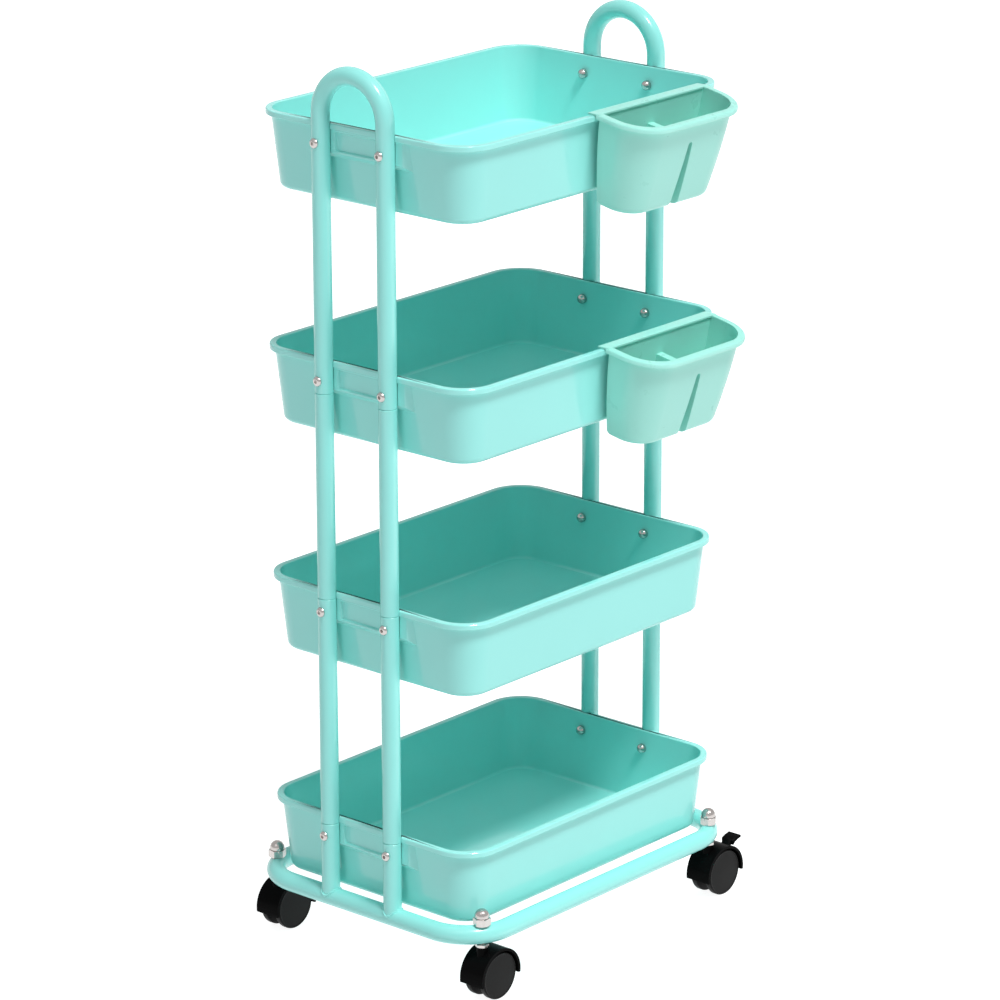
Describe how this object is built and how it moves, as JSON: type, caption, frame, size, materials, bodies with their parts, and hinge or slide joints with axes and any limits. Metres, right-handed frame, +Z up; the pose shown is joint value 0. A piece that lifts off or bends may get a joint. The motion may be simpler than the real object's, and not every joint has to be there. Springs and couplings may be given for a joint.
{
  "type": "rolling utility cart",
  "caption": "Slim rolling utility cart with stacked open bins on a tubular frame, bent-tube handles, hanging cups and twin-wheel casters.",
  "frame": {"origin": "centre of the cart's footprint box on the floor", "axes": "+Z up; X along the long side of the bins, with the hanging cups nearer the +X end; -Y is the front, where the cups hang"},
  "size_m": [0.4546, 0.3722, 0.9588],
  "materials": {
    "mint_tube": "gloss powder coat over steel tube",
    "mint_plastic": "satin gloss",
    "cup_plastic": "satin",
    "bright_steel": "bright nickel plate",
    "caster_black": "satin black",
    "wheel_grey": "fine matte dark grey"
  },
  "bodies": {
    "frame": {"base_frame": "mint_tube", "lower_post_left_front": "mint_tube", "middle_post_left_front": "mint_tube", "lower_post_left_rear": "mint_tube", "middle_post_left_rear": "mint_tube", "lower_post_right_front": "mint_tube", "middle_post_right_front": "mint_tube", "lower_post_right_rear": "mint_tube", "middle_post_right_rear": "mint_tube", "handle_left": "mint_tube", "handle_right": "mint_tube", "bin_top": "mint_plastic", "bin_bolt_top_left_front": "bright_steel", "bin_bolt_top_left_rear": "bright_steel", "bin_bolt_top_right_front": "bright_steel", "bin_bolt_top_right_rear": "bright_steel", "bin_second": "mint_plastic", "bin_bolt_second_left_front": "bright_steel", "bin_bolt_second_left_rear": "bright_steel", "bin_bolt_second_right_front": "bright_steel", "bin_bolt_second_right_rear": "bright_steel", "bin_third": "mint_plastic", "bin_bolt_third_left_front": "bright_steel", "bin_bolt_third_left_rear": "bright_steel", "bin_bolt_third_right_front": "bright_steel", "bin_bolt_third_right_rear": "bright_steel", "bin_bottom": "mint_plastic", "bin_bolt_bottom_left_front": "bright_steel", "bin_bolt_bottom_left_rear": "bright_steel", "bin_bolt_bottom_right_front": "bright_steel", "bin_bolt_bottom_right_rear": "bright_steel", "cap_nut_left_front": "bright_steel", "stem_left_front": "bright_steel", "cap_nut_left_rear": "bright_steel", "stem_left_rear": "bright_steel", "cap_nut_right_front": "bright_steel", "stem_right_front": "bright_steel", "cap_nut_right_rear": "bright_steel", "stem_right_rear": "bright_steel"},
    "cup_top": {"cup_top": "cup_plastic"},
    "cup_second": {"cup_second": "cup_plastic"},
    "caster_left_front": {"caster_hood_left_front": "caster_black", "caster_axle_left_front": "bright_steel"},
    "wheel_front_left_front": {"wheel_front_left_front": "wheel_grey"},
    "wheel_rear_left_front": {"wheel_rear_left_front": "wheel_grey"},
    "caster_left_rear": {"caster_hood_left_rear": "caster_black", "caster_axle_left_rear": "bright_steel"},
    "wheel_front_left_rear": {"wheel_front_left_rear": "wheel_grey"},
    "wheel_rear_left_rear": {"wheel_rear_left_rear": "wheel_grey"},
    "caster_right_front": {"caster_hood_right_front": "caster_black", "caster_axle_right_front": "bright_steel"},
    "wheel_front_right_front": {"wheel_front_right_front": "wheel_grey"},
    "wheel_rear_right_front": {"wheel_rear_right_front": "wheel_grey"},
    "brake_right_front": {"brake_lever_right_front": "caster_black"},
    "caster_right_rear": {"caster_hood_right_rear": "caster_black", "caster_axle_right_rear": "bright_steel"},
    "wheel_front_right_rear": {"wheel_front_right_rear": "wheel_grey"},
    "wheel_rear_right_rear": {"wheel_rear_right_rear": "wheel_grey"},
    "brake_right_rear": {"brake_lever_right_rear": "caster_black"}
  },
  "joints": [
    {"name": "cup_top_lift", "type": "slide", "parent": "frame", "child": "cup_top", "axis": [0, -0.1908, 0.9816], "range_m": [0, 0.06]},
    {"name": "cup_second_lift", "type": "slide", "parent": "frame", "child": "cup_second", "axis": [0, -0.1908, 0.9816], "range_m": [0, 0.06]},
    {"name": "caster_swivel_left_front", "type": "hinge", "parent": "frame", "child": "caster_left_front", "pos_m": [-0.19004, -0.11911, 0.05], "axis": [0, 0, 1], "continuous": true},
    {"name": "wheel_spin_front_left_front", "type": "hinge", "parent": "caster_left_front", "child": "wheel_front_left_front", "pos_m": [-0.17734, -0.11911, 0.025], "axis": [0, 1, 0], "continuous": true},
    {"name": "wheel_spin_rear_left_front", "type": "hinge", "parent": "caster_left_front", "child": "wheel_rear_left_front", "pos_m": [-0.17734, -0.11911, 0.025], "axis": [0, 1, 0], "continuous": true},
    {"name": "caster_swivel_left_rear", "type": "hinge", "parent": "frame", "child": "caster_left_rear", "pos_m": [-0.19004, 0.16837, 0.05], "axis": [0, 0, 1], "continuous": true},
    {"name": "wheel_spin_front_left_rear", "type": "hinge", "parent": "caster_left_rear", "child": "wheel_front_left_rear", "pos_m": [-0.17734, 0.16837, 0.025], "axis": [0, 1, 0], "continuous": true},
    {"name": "wheel_spin_rear_left_rear", "type": "hinge", "parent": "caster_left_rear", "child": "wheel_rear_left_rear", "pos_m": [-0.17734, 0.16837, 0.025], "axis": [0, 1, 0], "continuous": true},
    {"name": "caster_swivel_right_front", "type": "hinge", "parent": "frame", "child": "caster_right_front", "pos_m": [0.17981, -0.11911, 0.05], "axis": [0, 0, 1], "continuous": true},
    {"name": "wheel_spin_front_right_front", "type": "hinge", "parent": "caster_right_front", "child": "wheel_front_right_front", "pos_m": [0.19251, -0.11911, 0.025], "axis": [0, 1, 0], "continuous": true},
    {"name": "wheel_spin_rear_right_front", "type": "hinge", "parent": "caster_right_front", "child": "wheel_rear_right_front", "pos_m": [0.19251, -0.11911, 0.025], "axis": [0, 1, 0], "continuous": true},
    {"name": "brake_press_right_front", "type": "hinge", "parent": "caster_right_front", "child": "brake_right_front", "pos_m": [0.20501, -0.11911, 0.041], "axis": [0, 1, 0], "range_deg": [0, 12]},
    {"name": "caster_swivel_right_rear", "type": "hinge", "parent": "frame", "child": "caster_right_rear", "pos_m": [0.17981, 0.16837, 0.05], "axis": [0, 0, 1], "continuous": true},
    {"name": "wheel_spin_front_right_rear", "type": "hinge", "parent": "caster_right_rear", "child": "wheel_front_right_rear", "pos_m": [0.19251, 0.16837, 0.025], "axis": [0, 1, 0], "continuous": true},
    {"name": "wheel_spin_rear_right_rear", "type": "hinge", "parent": "caster_right_rear", "child": "wheel_rear_right_rear", "pos_m": [0.19251, 0.16837, 0.025], "axis": [0, 1, 0], "continuous": true},
    {"name": "brake_press_right_rear", "type": "hinge", "parent": "caster_right_rear", "child": "brake_right_rear", "pos_m": [0.20501, 0.16837, 0.041], "axis": [0, 1, 0], "range_deg": [0, 12]}
  ]
}
